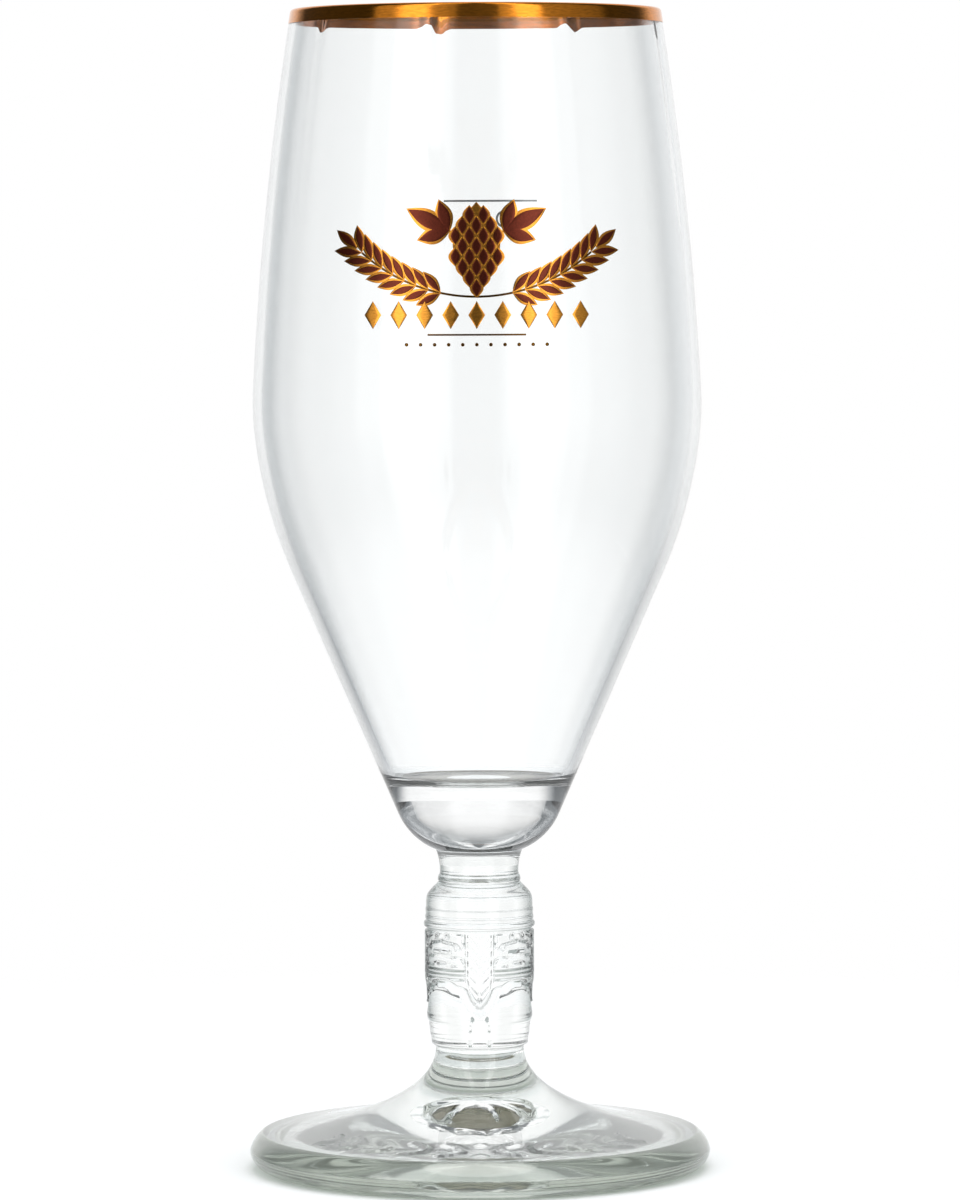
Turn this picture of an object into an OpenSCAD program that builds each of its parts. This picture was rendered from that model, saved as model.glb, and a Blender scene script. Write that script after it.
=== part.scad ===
// Chalice beer glass: a blown tulip bowl on a pressed stem and a pressed foot, with fired decoration.
// Millimetres, +Z up. The origin is the centre of the ring that the foot rests on.
// The glass faces -Y: the front print is there, and the capacity mark is on the back wall.

/* [Bowl] */
// Height of the bowl, from its joint with the stem to the lip
bowl_h = 142.2; // [130:0.5:155]
// Widest diameter of the bowl
belly_d = 76; // [70:0.5:82]
// Height of the widest ring above the joint
belly_up = 75.7; // [70:0.5:80]
// Radius of the long curve from the belly to the lip
wall_r = 600; // [500:10:900]
// Radius of the short curve just above the widest ring
belly_upper_r = 60; // [30:5:90]
// Radius of the curve just under the widest ring
belly_lower_r = 50.6; // [35:1:60]
// Radius of the curve that leads into the straight cone
hip_r = 83; // [60:1:95]
// Radius of the solid bulb at the bottom
bulb_r = 11.6; // [9:0.2:13]
// Diameter of the flat joint under the bulb, which the stem carries
joint_d = 14.8; // [12:0.2:17]
// Glass thickness at the lip
wall_rim = 1.2; // [1:0.1:2]
// Glass thickness at the bottom of the cone
wall_base = 1.8; // [1.5:0.1:3]
// Thickness of the solid bulb, from the joint to the inside floor
bulb_h = 11.5; // [8:0.25:12.5]
// Radius of the hollow corner between the inside floor and the wall
floor_round = 6; // [3:0.25:8]

/* [Stem] */
// Diameter at the waist under the bulb
waist_d = 13.3; // [11:0.1:14]
// Height of the waist
waist_h = 5.2; // [4:0.1:7]
// Diameter of the thin ring under the waist
ring_d = 14; // [13.8:0.1:15]
// Height of the thin ring under the waist
ring_h = 0.5; // [0.3:0.05:0.8]
// Height of the sloped shoulder
shoulder_h = 2.95; // [2:0.05:4]
// Diameter of the top collar
collar_d = 18; // [17:0.1:18.4]
// Height of each of the three collars
collar_h = 1.2; // [1:0.05:1.8]
// Diameter of the bead that closes the coursed wall
bead_d = 18.9; // [18.8:0.05:19.6]
// Height of that bead
bead_h = 0.9; // [0.6:0.05:1.2]
// Diameter of the barrel with the courses and the panels
barrel_d = 18.1; // [17.7:0.1:18.75]
// Height of one course of blocks
course_h = 1.85; // [1.4:0.05:2]
// Height of the drum with the arched panels
drum_h = 6.65; // [6:0.05:8]
// Width of an arched panel
panel_w = 9.4; // [8:0.1:10]
// Depth of an arched panel
panel_in = 0.45; // [0.2:0.05:0.5]
// Width of the straps between the panels
strap_w = 4.4; // [3.4:0.1:4.6]
// Height that a strap stands proud of the barrel
strap_out = 0.15; // [0.05:0.01:0.25]
// Height that the grains of the ears stand proud of the straps
grain_out = 0.2; // [0.1:0.05:0.5]
// Height of each course of the stepped skirt
skirt_h = 1.45; // [1.2:0.05:1.8]
// Diameter of the lowest, narrowest course of the skirt
skirt_d = 16.2; // [15.6:0.1:16.6]
// Diameter of the ring where the stem stands on the foot
neck_ring_d = 15; // [14:0.1:15.4]
// Height of that ring
neck_ring_h = 0.75; // [0.5:0.05:1.2]

/* [Foot] */
// Diameter of the foot
foot_d = 78.4; // [72:0.2:84]
// Height of the foot, from the rest ring to its joint with the stem
foot_h = 20.3; // [17:0.1:23]
// Height of the foot's widest line
edge_z = 3.2; // [2.6:0.1:3.8]
// Height where the rounded edge meets the top face
edge_h = 6.3; // [5.6:0.1:7]
// Width of the rounded edge, from the top face out to the widest line
edge_w = 2.3; // [1.5:0.1:3]
// Inward width of the rounded bottom, from the widest line to the rest ring
sole_w = 3.6; // [2.6:0.1:4.4]
// Width of the flat rest ring
rest_w = 1.2; // [0.8:0.1:2]
// Height of the shallow hollow under the foot
under_h = 1.4; // [0.8:0.1:2.4]
// Diameter of the deep punt in the middle of the underside
punt_d = 16; // [12:0.5:20]
// Height of the punt above the shallow hollow
punt_h = 6; // [4:0.2:8]
// Height that the fine reeds at the root of the flare stand proud
reed_out = 0.18; // [0.1:0.02:0.3]

/* [Decoration] */
// Thickness of the fired gold and enamel layers
layer_t = 0.08; // [0.05:0.01:0.2]
// Height of the gold band on the outside of the lip
band_h = 2.4; // [1.8:0.1:4]
// Height of the gold band on the inside of the lip
band_in_h = 1; // [0.8:0.1:1.6]
// Height of the front print's middle above the joint
print_up = 101.9; // [98:0.1:104]
// Half the width of the front print
print_half = 23; // [18:0.5:25]
// Width of the gold outline round each dark shape
outline_w = 0.3; // [0.15:0.05:0.4]
// Height of the capacity line above the joint
fill_up = 110; // [107:0.1:112]
// Length of the capacity line
fill_w = 17; // [10:0.5:20]
// Stroke width of the capacity mark
fill_stroke = 0.35; // [0.3:0.05:0.6]
// Height of the capacity figures
figure_h = 2.9; // [2:0.1:4]
// Turn of the capacity mark from the middle of the back, in degrees
fill_turn = 4; // [0:1:30]

/* [Hidden] */
$fn = 96;

// Heights, stacked from the table up
skirt_courses = 3;
wall_courses = 5;
collars = 3;
stem_h = neck_ring_h + skirt_courses * skirt_h + drum_h + wall_courses * course_h
  + bead_h + collars * collar_h + shoulder_h + ring_h + waist_h;
joint_z = foot_h + stem_h;
rim_z = joint_z + bowl_h;
belly_z = joint_z + belly_up;
joint_r = joint_d / 2;
belly_r = belly_d / 2;

// Leans of the outline from the vertical, in degrees, where its curves meet
belly_upper_lean = 3;
belly_lower_lean = 7.4;
cone_lean = 23.5;
bulb_lean = 68;

// Steps along each curve of an outline
short_steps = 4;
curve_steps = 8;
long_steps = 12;

// One overrun for all cuts and prisms
over = 2;

function flip(list) = [for (i = [len(list) - 1:-1:0]) list[i]];
function flat(list) = [for (p = list) [p[0], p[1]]];
function bearing(a) = [cos(a), sin(a)];
// Points of an arc, each with the bearing of its normal
function arc(c, r, a0, a1, n) = [
  for (i = [0:n])
    let (a = a0 + (a1 - a0) * i / n)
    [c[0] + r * cos(a), c[1] + r * sin(a), a]
];
// The same points moved by t along their normals
function moved(path, t) = [
  for (p = path) [p[0] + t * cos(p[2]), p[1] + t * sin(p[2]), p[2]]
];
// Centre of an arc of radius r that has point p on it at bearing a
function centre(p, r, a) = [p[0] - r * cos(a), p[1] - r * sin(a)];
// Cubic curve through four guide points
function cubic(a, b, c, d, n) = [
  for (i = [0:n])
    let (t = i / n)
    a * pow(1 - t, 3) + 3 * b * pow(1 - t, 2) * t + 3 * c * (1 - t) * t * t + d * pow(t, 3)
];

// Bowl: the outside, from the joint to the lip
bulb_c = centre([joint_r, joint_z], bulb_r, -bulb_lean);
bulb_run = arc(bulb_c, bulb_r, -bulb_lean, -cone_lean, curve_steps);
belly_lower_run = arc([belly_r - belly_lower_r, belly_z], belly_lower_r, -belly_lower_lean, 0, short_steps);
hip_c = centre(belly_lower_run[0], hip_r, -belly_lower_lean);
hip_run = arc(hip_c, hip_r, -cone_lean, -belly_lower_lean, curve_steps);
belly_upper_run = arc([belly_r - belly_upper_r, belly_z], belly_upper_r, 0, belly_upper_lean, short_steps);
wall_c = centre(belly_upper_run[short_steps], wall_r, belly_upper_lean);
lip_r = wall_rim / 2;
rim_guess = asin((rim_z - lip_r - wall_c[1]) / wall_r);
rim_lean = asin((rim_z - lip_r * (1 - sin(rim_guess)) - wall_c[1]) / wall_r);
band_lean = asin((rim_z - band_h - wall_c[1]) / wall_r);
band_in_lean = asin((rim_z - band_in_h - wall_c[1]) / wall_r);
wall_run = arc(wall_c, wall_r, belly_upper_lean, band_lean, long_steps);
band_run = concat(
  [wall_run[long_steps]],
  arc(wall_c, wall_r, band_in_lean, rim_lean, short_steps)
);
rim_p = band_run[len(band_run) - 1];
lip_run = arc(centre(rim_p, lip_r, rim_lean), lip_r, rim_lean, rim_lean + 180, long_steps);
outside = concat(bulb_run, hip_run, belly_lower_run, belly_upper_run, wall_run, band_run);

// Bowl: the inside. The wall thins evenly from the bottom of the cone to the lip.
cone_foot = bulb_run[curve_steps];
function wall_at(z) = wall_base + (wall_rim - wall_base) * (z - cone_foot[1]) / (rim_p[1] - cone_foot[1]);
function inner(path) = [
  for (p = path)
    let (t = wall_at(p[1]))
    [p[0] - t * cos(p[2]), p[1] - t * sin(p[2]), p[2] + 180]
];
floor_z = joint_z + bulb_h;
corner_in = wall_base + floor_round;
corner_along = (floor_z + floor_round - cone_foot[1] - corner_in * sin(cone_lean)) / cos(cone_lean);
corner_c = [
  cone_foot[0] - corner_in * cos(cone_lean) + corner_along * sin(cone_lean),
  floor_z + floor_round
];
corner_run = arc(corner_c, floor_round, -90, -cone_lean, curve_steps);
inside = inner(concat(hip_run, belly_lower_run, belly_upper_run, wall_run, band_run));

// The lip's gold lies on the last runs of both sides
gold_path = concat(band_run, lip_run, flip(inner(arc(wall_c, wall_r, band_in_lean, rim_lean, short_steps))));

// A thin layer that lies on a path of points with normals
module layer(path) {
  rotate_extrude()
    polygon(flat(concat(path, flip(moved(path, layer_t)))));
}

// Glass body of the bowl
module bowl() {
  color("azure", 0.4)
    rotate_extrude()
      polygon(flat(concat(
        [[0, joint_z]],
        outside,
        lip_run,
        flip(inside),
        flip(corner_run),
        [[0, floor_z]]
      )));
}

module rim_band() {
  color("goldenrod")
    layer(gold_path);
}

// Stem: heights of its zones, from the foot up
skirt_z = foot_h + neck_ring_h;
drum_z = skirt_z + skirt_courses * skirt_h;
wall_z = drum_z + drum_h;
bead_z = wall_z + wall_courses * course_h;
collar_z = bead_z + bead_h;
shoulder_z = collar_z + collars * collar_h;
ring_z = shoulder_z + shoulder_h;
waist_z = ring_z + ring_h;
barrel_r = barrel_d / 2;
collar_r = collar_d / 2;
ring_r = ring_d / 2;
waist_r = waist_d / 2;
skirt_r = skirt_d / 2;
groove_w = course_h / 5;
groove_in = groove_w / 2;

// The skirt widens step by step to the drum, and each step has a small slope
skirt_pts = [
  for (i = [0:skirt_courses - 1])
    let (r = skirt_r + (barrel_r - skirt_r) * i / skirt_courses, z = skirt_z + i * skirt_h)
    each [[r, z + groove_in], [r, z + skirt_h - groove_in]]
];
// A groove is a V between two courses
course_pts = [
  for (i = [1:wall_courses])
    let (z = wall_z + i * course_h)
    each [
      [barrel_r, z - groove_w - groove_in],
      [barrel_r - groove_in, z - groove_w],
      [barrel_r, z - groove_in]
    ]
];
bead_run = arc([bead_d / 2 - bead_h / 2, bead_z + bead_h / 2], bead_h / 2, -90, 90, curve_steps);
collar_pts = [
  for (i = [0:collars - 1])
    let (
      r = collar_r + (barrel_r - collar_r) * (collars - 1 - i) / collars,
      z = collar_z + i * collar_h
    )
    each [[r, z + groove_in], [r, z + collar_h - groove_in]]
];
shoulder_run = cubic(
  [collar_r, shoulder_z],
  [collar_r, shoulder_z + shoulder_h * 0.45],
  [ring_r + (collar_r - ring_r) * 0.35, ring_z - shoulder_h * 0.25],
  [ring_r, ring_z],
  curve_steps
);
ring_run = [[ring_r, ring_z], [ring_r, waist_z]];
waist_run = cubic(
  [waist_r + (ring_r - waist_r) / 2, waist_z],
  [waist_r - (joint_r - waist_r) * 0.15, waist_z + waist_h * 0.35],
  [waist_r - (joint_r - waist_r) * 0.1, waist_z + waist_h * 0.6],
  [joint_r, joint_z],
  curve_steps
);

// An arch: straight sides under a half circle, from z0 to z1
module arch(w, z0, z1) {
  translate([-w / 2, z0])
    square([w, z1 - z0 - w / 2]);
  translate([0, z1 - w / 2])
    circle(d = w);
}

// A strap between two panels: it ends in a point below
module strap(w, z0, z1) {
  polygon([[0, z0], [w / 2, z0 + w / 2], [w / 2, z1], [-w / 2, z1], [-w / 2, z0 + w / 2]]);
}

// A pointed leaf or grain from the origin to [0, l], w wide
leaf_steps = 6;
module leaf(l, w) {
  side = [for (i = [0:leaf_steps]) [w / 2 * sin(180 * i / leaf_steps), l * i / leaf_steps]];
  polygon(concat(side, [for (i = [leaf_steps - 1:-1:1]) [-side[i][0], side[i][1]]]));
}

// An ear of barley: pairs of grains up a line, and one at the tip
ear_pairs = 6;
module ear(l, w) {
  pitch = l / (ear_pairs + 1);
  for (i = [0:ear_pairs - 1], side = [-1, 1])
    translate([side * w / 16, pitch * i])
      rotate(-side * 24)
        leaf(pitch * 1.3, w / 3);
  translate([0, pitch * ear_pairs])
    leaf(pitch * 1.3, w / 3);
}

// Stands a drawing up on the side of the stem that faces bearing a, between two radii
module on_stem(a, r0, r1) {
  intersection() {
    rotate(a)
      rotate([90, 0, 90])
        linear_extrude(height = r1 + over)
          children();
    difference() {
      cylinder(r = r1, h = joint_z);
      cylinder(r = r0, h = joint_z);
    }
  }
}

panels = 4;
panel_top = wall_z + course_h / 3;
panel_foot = drum_z + panel_in * 2;
strap_foot = panel_foot + course_h;
strap_top = bead_z - groove_w;
blocks = 5;

module stem() {
  color("azure", 0.5)
    difference() {
      union() {
        rotate_extrude()
          polygon(concat(
            [[0, foot_h], [neck_ring_d / 2, foot_h], [neck_ring_d / 2, skirt_z]],
            skirt_pts,
            [[barrel_r, drum_z + groove_in]],
            course_pts,
            flat(bead_run),
            collar_pts,
            shoulder_run,
            ring_run,
            waist_run,
            [[0, joint_z]]
          ));
        for (i = [0:panels - 1]) {
          on_stem(360 / panels * i, barrel_r - panel_in * 2, barrel_r + strap_out)
            strap(strap_w, strap_foot, strap_top);
          on_stem(360 / panels * i, barrel_r - panel_in, barrel_r + strap_out + grain_out)
            translate([0, strap_foot + strap_w / 4])
              ear(strap_top - strap_foot - strap_w / 4 - groove_w, strap_w);
        }
      }
      for (i = [0:panels - 1])
        on_stem(360 / panels * (i + 0.5), barrel_r - panel_in, barrel_r + over)
          arch(panel_w, panel_foot, panel_top);
      // Upright joints between the blocks, half a block over from course to course
      for (i = [0:panels - 1], c = [1:wall_courses - 1], b = [0:blocks - 2])
        let (a = 360 / panels * (i + (b + 1 + (c % 2) / 2) / (blocks + 0.5)))
        rotate(a)
          translate([barrel_r - groove_in, -groove_w / 2, wall_z + c * course_h - groove_in])
            cube([over, groove_w, course_h - groove_w]);
    }
}

// Foot: the flare from the stem, the rounded edge, the rest ring and the hollow underside
foot_r = foot_d / 2;
// Bearing in which a reed is pushed out, in degrees
edge_lean = 30;
flare_r = foot_r - edge_w;
rest_r = foot_r - sole_w;
hollow_r = rest_r - rest_w;
punt_r = punt_d / 2;
neck_ring_r = neck_ring_d / 2;
flare_run = cubic(
  [neck_ring_r, foot_h],
  [neck_ring_r + edge_w / 8, foot_h - edge_h],
  [flare_r / 2, edge_h + edge_w * 0.75],
  [flare_r, edge_h],
  2 * long_steps
);
edge_out = [
  for (i = [1:curve_steps])
    let (a = 90 * i / curve_steps)
    [flare_r + edge_w * pow(sin(a), 1.4), edge_z + (edge_h - edge_z) * pow(cos(a), 1.4)]
];
sole_out = [
  for (i = [1:curve_steps])
    let (a = 90 * i / curve_steps)
    [rest_r + sole_w * cos(a), edge_z * (1 - sin(a))]
];
under_run = cubic(
  [hollow_r, 0],
  [hollow_r - rest_w, under_h],
  [punt_r + (hollow_r - punt_r) / 2, under_h],
  [punt_r, under_h],
  curve_steps
);
punt_run = cubic(
  [punt_r, under_h],
  [punt_r * 0.9, under_h + punt_h * 0.7],
  [punt_r * 0.55, under_h + punt_h],
  [0, under_h + punt_h],
  curve_steps
);

// The first stretch of the flare carries fine reeds: every second point there is pushed out
reeds = 3;
reeded_run = [
  for (i = [0:2 * long_steps])
    flare_run[i] + (i < 2 * reeds && i % 2 == 1 ? reed_out : 0) * bearing(edge_lean)
];

module foot() {
  color("azure", 0.5)
    rotate_extrude()
      polygon(concat(
        [[0, foot_h]],
        reeded_run,
        edge_out,
        sole_out,
        under_run,
        punt_run
      ));
}

// Stands a flat drawing on the bowl's wall as a thin layer, on the side that faces y
module on_wall(y) {
  intersection() {
    layer(wall_run);
    rotate([90, 0, y < 0 ? 0 : 180])
      linear_extrude(height = belly_r + over)
        children();
  }
}

// Front print: a hop cone with leaves between two ears of barley, over lozenges, a rule and dots.
// Every place and size in it is a share of half its width.
print_z = joint_z + print_up;
function share(k) = print_half * k;

// A leaf that grows on all sides for the gold outline
module grown_leaf(l, w, grow) {
  translate([0, -grow])
    leaf(l + grow * 2, w + grow * 2);
}

bract_rows = [1, 2, 3, 4, 3, 4, 3, 2];
bract_pitch = share(0.1);
bract_step = share(0.074);
module hop_cone(grow) {
  for (i = [0:len(bract_rows) - 1], k = [0:bract_rows[i] - 1])
    translate([
      (k - (bract_rows[i] - 1) / 2) * bract_pitch,
      (i - len(bract_rows) / 2 + 1) * bract_step
    ])
      rotate(180)
        grown_leaf(bract_step * 1.55, bract_pitch * 0.74, grow);
}

// A hop leaf: one long lobe between two short ones
lobe_turn = 44;
leaf_turn = 62;
leaf_l = share(0.33);
leaf_w = share(0.125);
module hop_leaf(side, grow) {
  translate([side * bract_pitch * 1.95, bract_step * 1.7])
    rotate(-side * leaf_turn) {
      grown_leaf(leaf_l, leaf_w, grow);
      for (turn = [-1, 1])
        rotate(turn * lobe_turn)
          grown_leaf(leaf_l * 0.68, leaf_w * 0.8, grow);
    }
}

// An ear of barley on an arc that rises from the middle to the side
sprig_pairs = 8;
sprig_r = share(1.22);
sprig_rise = share(0.88);
sprig_start = 12;
sprig_sweep = 30;
grain_turn = 38;
grain_l = share(0.175);
grain_w = share(0.056);
module sprig(side, grow) {
  for (i = [0:sprig_pairs - 1])
    let (a = sprig_start + sprig_sweep * i / (sprig_pairs - 1))
    translate([side * sprig_r * sin(a), sprig_rise - sprig_r * cos(a)]) {
      for (row = [-1, 1])
        rotate(side * (a - 90 - row * grain_turn))
          translate([0, outline_w])
            grown_leaf(grain_l, grain_w, grow);
      // Grain at the tip of the ear
      if (i == sprig_pairs - 1)
        rotate(side * (a - 90))
          translate([0, grain_w])
            grown_leaf(grain_l, grain_w, grow);
    }
}

module print_shapes(grow) {
  hop_cone(grow);
  for (side = [-1, 1]) {
    hop_leaf(side, grow);
    sprig(side, grow);
  }
}

// The stalks run up the ears and meet under the hop cone, and the cone has a core between its bracts
module print_core() {
  intersection() {
    translate([0, sprig_rise])
      difference() {
        circle(r = sprig_r + outline_w * 0.6, $fn = 2 * $fn);
        circle(r = sprig_r - outline_w * 0.6, $fn = 2 * $fn);
      }
    translate([-print_half, sprig_rise - sprig_r - outline_w])
      square([2 * print_half, sprig_r * (1 - cos(sprig_start + sprig_sweep)) + outline_w]);
  }
  translate([0, -bract_step * 3.5])
    leaf(bract_step * 8, bract_pitch * 3.4);
}

module front_print_dark() {
  color("saddlebrown")
    on_wall(-1)
      translate([0, print_z])
        print_shapes(0);
}

lozenges = 9;
lozenge_w = share(0.12);
lozenge_h = share(0.2);
row_half = share(0.74);
row_down = share(0.47);
rule_half = share(0.35);
rule_down = share(0.61);
dot_half = share(0.5);
dot_down = share(0.68);
dots = 11;
module front_print_gold() {
  color("gold")
    on_wall(-1)
      translate([0, print_z]) {
        difference() {
          union() {
            print_shapes(outline_w);
            print_core();
          }
          print_shapes(0);
        }
        for (i = [0:lozenges - 1])
          translate([row_half * (2 * i / (lozenges - 1) - 1), -row_down])
            polygon([[0, lozenge_h / 2], [lozenge_w / 2, 0], [0, -lozenge_h / 2], [-lozenge_w / 2, 0]]);
        translate([-rule_half, -rule_down - outline_w / 2])
          square([2 * rule_half, outline_w]);
        for (i = [0:dots - 1])
          translate([dot_half * (2 * i / (dots - 1) - 1), -dot_down])
            circle(d = outline_w * 2);
      }
}

// Capacity mark: a line, and under it the figures 0,3 drawn as strokes
fill_z = joint_z + fill_up;
module zero() {
  difference() {
    circle(d = figure_h);
    circle(d = figure_h - 2 * fill_stroke);
  }
}
module comma() {
  translate([0, -figure_h / 2])
    circle(d = fill_stroke * 1.5);
}
module three() {
  for (k = [-1, 1])
    translate([0, k * (figure_h - fill_stroke) / 4])
      difference() {
        circle(d = (figure_h + fill_stroke) / 2);
        circle(d = (figure_h - fill_stroke * 3) / 2);
        translate([-figure_h, k > 0 ? -figure_h : 0])
          square([figure_h, figure_h]);
      }
}

module fill_mark() {
  color("dimgray")
    rotate(-fill_turn)
      on_wall(1) {
        translate([-fill_w / 2, fill_z - fill_stroke / 2])
          square([fill_w, fill_stroke]);
        translate([0, fill_z - figure_h * 1.1]) {
          translate([-figure_h * 0.8, 0])
            zero();
          translate([-figure_h * 0.15, 0])
            comma();
          translate([figure_h * 0.35, 0])
            three();
        }
      }
}

bowl();
stem();
foot();
rim_band();
front_print_dark();
front_print_gold();
fill_mark();
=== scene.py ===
"""Looks of the chalice beer glass: blown bowl, pressed stem and foot, fired gold and enamel."""

import math

import bpy
import numpy as np
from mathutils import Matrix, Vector


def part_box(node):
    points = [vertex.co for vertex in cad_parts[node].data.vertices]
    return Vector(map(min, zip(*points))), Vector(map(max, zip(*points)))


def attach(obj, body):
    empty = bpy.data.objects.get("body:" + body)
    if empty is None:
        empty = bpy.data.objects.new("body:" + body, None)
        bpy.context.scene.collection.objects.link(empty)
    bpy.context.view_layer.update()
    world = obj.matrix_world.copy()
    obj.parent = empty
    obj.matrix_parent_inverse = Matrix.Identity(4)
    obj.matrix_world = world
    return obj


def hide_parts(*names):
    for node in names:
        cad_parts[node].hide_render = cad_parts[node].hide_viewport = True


bl_info = {
    "name": "Chalice Beer Glass",
    "version": (1, 0, 0),
    "blender": (4, 5, 0),
    "location": "View3D > Sidebar > Chalice",
    "description": "Builds a stemmed beer glass with a gold lip and a fired print",
    "category": "Object",
}

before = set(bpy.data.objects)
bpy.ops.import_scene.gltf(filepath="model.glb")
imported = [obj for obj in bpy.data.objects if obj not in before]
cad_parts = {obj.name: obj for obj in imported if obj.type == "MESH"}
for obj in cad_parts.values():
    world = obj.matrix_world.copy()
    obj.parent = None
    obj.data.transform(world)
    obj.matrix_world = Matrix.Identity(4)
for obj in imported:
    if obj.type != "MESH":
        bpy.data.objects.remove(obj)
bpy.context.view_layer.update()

MM = 0.001


def mm(value):
    """One of Blender's lengths, in millimetres."""
    return value / MM


def node_mm(name):
    """Lowest and highest corners of a CAD node, in millimetres."""
    return [[mm(c) for c in corner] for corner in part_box(name)]


BOWL_LOW, BOWL_HIGH = node_mm("bowl")
STEM_LOW, STEM_HIGH = node_mm("stem")
FOOT_HIGH = node_mm("foot")[1]
# Radii of the flat joints at the stem's two ends
BULB_JOINT_R = 7.4
FOOT_JOINT_R = 7.5


def length(name, description, default):
    """A size in millimetres, kept in metres as Blender does."""
    return bpy.props.FloatProperty(
        name=name, description=description, default=default * MM, unit="LENGTH", precision=5
    )


def angle(name, description, default):
    """An angle in degrees, kept in radians as Blender does."""
    return bpy.props.FloatProperty(
        name=name, description=description, default=math.radians(default), subtype="ANGLE"
    )


def tint(name, description, default):
    """A colour as sRGB hex."""
    return bpy.props.StringProperty(name=name, description=description, default=default)


class BowlSizes(bpy.types.PropertyGroup):
    joint_z: length("Joint height", "Height of the joint with the stem", BOWL_LOW[2])
    rim_z: length("Lip height", "Height of the lip", BOWL_HIGH[2])
    belly_r: length("Belly radius", "Radius of the widest ring", BOWL_HIGH[0])
    belly_up: length("Belly height", "Height of the widest ring above the joint", 75.7)
    joint_r: length("Joint radius", "Radius of the flat joint under the bulb", BULB_JOINT_R)
    bulb_r: length("Bulb curve", "Radius of the solid bulb's outline", 11.6)
    hip_r: length("Hip curve", "Radius of the curve into the straight cone", 83)
    belly_lower_r: length("Lower belly curve", "Radius just under the widest ring", 50.6)
    belly_upper_r: length("Upper belly curve", "Radius just above the widest ring", 60)
    wall_r: length("Wall curve", "Radius of the long curve up to the lip", 600)
    wall_rim: length("Lip thickness", "Glass thickness at the lip", 1.2)
    wall_base: length("Cone thickness", "Glass thickness at the bottom of the cone", 1.8)
    bulb_h: length("Bulb thickness", "From the joint to the inside floor", 12)
    floor_round: length("Floor corner", "Radius of the hollow corner round the inside floor", 3)
    ripple: length("Wall ripple", "Height of the upright ripples inside the wall", 0.06)


class StemSizes(bpy.types.PropertyGroup):
    foot_z: length("Stem foot", "Height where the stem stands on the foot", STEM_LOW[2])
    joint_z: length("Stem top", "Height of the joint with the bowl", STEM_HIGH[2])
    barrel_r: length("Barrel radius", "Radius of the coursed barrel", 9.1)
    lobe_h: length("Lobe relief", "Height that the smooth lobes stand out", 0.3)
    strap_h: length("Strap relief", "Height that the carved straps stand out", 0.25)
    groove_h: length("Groove depth", "Depth of the grooves between the courses", 0.45)


class FootSizes(bpy.types.PropertyGroup):
    top_z: length("Foot height", "Height of the joint with the stem", FOOT_HIGH[2])
    radius: length("Foot radius", "Radius of the widest line", FOOT_HIGH[0])
    edge_z: length("Edge line", "Height of the widest line", 3.2)
    edge_h: length("Edge top", "Height where the rounded edge meets the top face", 6.3)
    edge_w: length("Edge width", "From the top face out to the widest line", 2.3)
    sole_w: length("Sole width", "From the widest line in to the rest ring", 3.6)
    rest_w: length("Rest ring", "Width of the flat rest ring", 1.2)
    under_h: length("Underside hollow", "Height of the shallow hollow", 1.4)
    punt_r: length("Punt radius", "Radius of the deep punt", 8)
    punt_rim: length("Punt rim", "Height of the punt's rim above the table", 0.4)
    punt_h: length("Punt height", "Height of the punt above the hollow", 5.2)
    emboss: length("Embossing", "Height of the embossed sprigs on the top face", 0.4)


class PaintSizes(bpy.types.PropertyGroup):
    layer: length("Layer", "Thickness of the fired gold and enamel", 0.06)
    band_h: length("Gold band", "Height of the gold band outside the lip", 2.4)
    band_in_h: length("Inner band", "Height of the gold band inside the lip", 1)
    print_up: length("Print height", "Height of the print's middle above the joint", 101.9)
    print_half: length("Print half width", "Half the width of the front print", 23)
    outline: length("Outline", "Width of the gold outline", 0.3)
    fill_up: length("Fill line height", "Height of the capacity line above the joint", 110)
    fill_w: length("Fill line length", "Length of the capacity line", 17)
    figure_h: length("Figure height", "Height of the capacity figures", 2.9)
    fill_turn: angle("Mark turn", "Turn of the capacity mark from the middle of the back", 4)


class Finishes(bpy.types.PropertyGroup):
    blown_face: tint("Blown glass", "Blown glass seen square on", "#FDFEFE")
    # Edge-on tints of the glass are painted shade
    blown_edge: tint("Blown glass edge", "Blown glass seen edge on", "#CBD0D3")
    bulb_edge: tint("Bulb edge", "Solid bulb seen edge on", "#98A2AB")
    # Painted shade of the inside floor
    floor_face: tint("Inside floor", "Inside floor seen square on", "#77736A")
    floor_edge: tint("Inside floor edge", "Inside floor seen edge on", "#2A271E")
    pressed_face: tint("Pressed glass", "Pressed glass seen square on", "#FAFCFB")
    # Painted shade of pressed glass edge on
    pressed_edge: tint("Pressed glass edge", "Pressed glass seen edge on", "#66716F")
    # Painted shade of the mould marks
    mark_face: tint("Mould marks", "Steep marks of the mould on the stem", "#7E8785")
    thick_edge: tint("Foot edge", "Thick rounded edge of the foot", "#A9B0A6")
    # Painted shade of the punt
    punt_face: tint("Punt", "Wall of the punt seen square on", "#AAA695")
    punt_edge: tint("Punt edge", "Wall of the punt seen edge on", "#3F3B30")
    rim_gold: tint("Lip gold", "Fired gold of the lip", "#D9862B")
    gold_back: tint("Gold from behind", "Fired gold seen through the glass", "#F08A22")
    print_gold: tint("Print gold", "Fired gold of the print", "#E39A3C")
    print_brown: tint("Print brown", "Copper-brown fired enamel of the print", "#5A2416")
    mark_grey: tint("Mark grey", "Grey enamel of the capacity mark", "#77797A")
    floor: tint("Floor", "Pale floor", "#F4F5F6")


class StageSizes(bpy.types.PropertyGroup):
    aside: length("Camera offset", "From the glass's axis to the camera, to the right", 0.34)
    distance: length("Camera distance", "From the glass's axis to the camera", 1040)
    height: length("Camera height", "Height of the camera", 157.4)
    pitch: angle("Camera pitch", "Downward tilt of the camera", 3.335)
    roll: angle("Camera roll", "Turn of the camera about its own line of sight", 0.235)
    lens: bpy.props.FloatProperty(
        name="Lens", description="Focal length in millimetres", default=184.2, min=1
    )
    floor_r: length("Floor radius", "Radius of the pale floor", 900)


# Materials


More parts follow.
